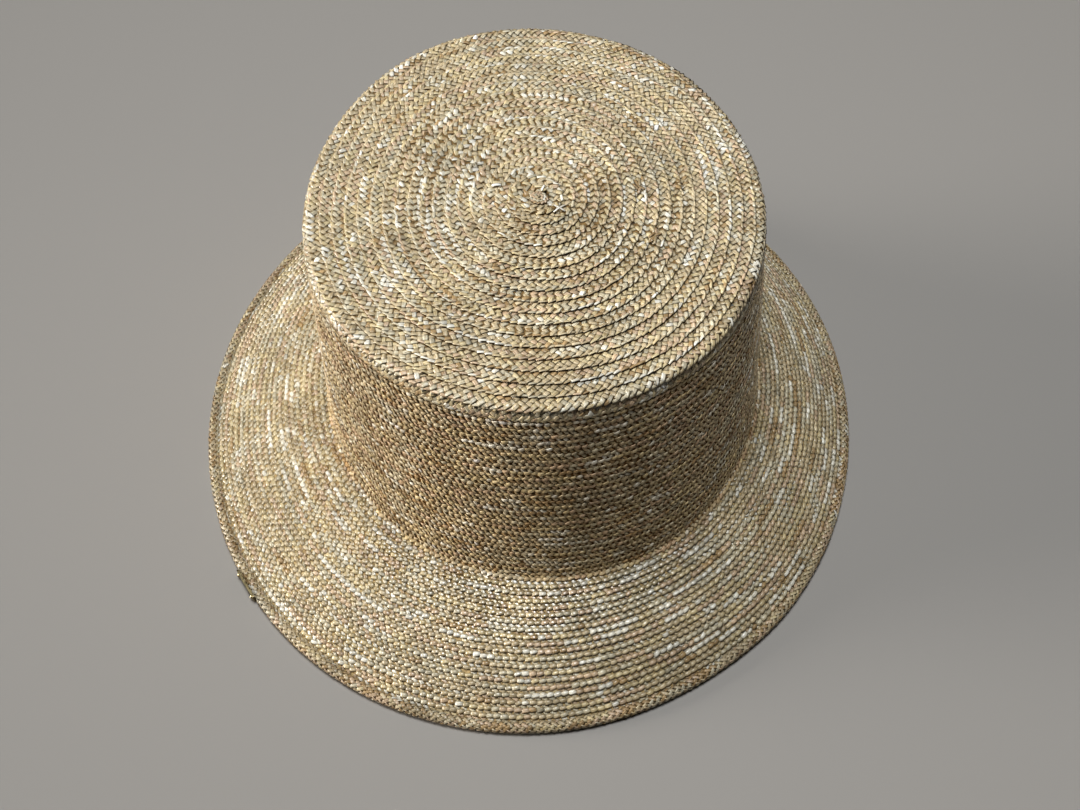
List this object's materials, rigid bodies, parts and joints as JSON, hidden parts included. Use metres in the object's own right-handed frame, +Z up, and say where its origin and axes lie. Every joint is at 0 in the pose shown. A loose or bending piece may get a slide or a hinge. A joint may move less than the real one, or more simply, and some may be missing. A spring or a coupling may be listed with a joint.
{
  "type": "straw sun hat",
  "caption": "Straw sun hat of sewn plaited rows, with a tall flat-topped oval crown, a sloping wired brim and a ribbon sweatband inside.",
  "frame": {"origin": "centre of the brim's oval, in the plane that the brim's edge rests on", "axes": "+Z up to the tip, +Y to the front of the hat along the head's long axis, +X to the wearer's right"},
  "size_m": [0.27, 0.293, 0.1234],
  "materials": {
    "straw": "semi-gloss plaited wheat straw",
    "edge_straw": "darker plaited wheat straw",
    "ribbon": "ribbed grosgrain",
    "thread": "cotton thread",
    "label": "woven satin",
    "wire": "drawn wire",
    "brass": "antiqued, satin"
  },
  "bodies": {
    "root": {"tip_button": "straw", "crown_tip": "straw", "crown_side": "straw", "brim": "straw", "brim_edge": "edge_straw", "brim_wire": "wire", "wire_joiner": "brass", "sweatband": "ribbon", "joint_tape": "ribbon", "sweatband_thread": "thread", "blank_label": "label", "brim_plate": "brass", "plate_rivets": "brass"}
  },
  "joints": []
}
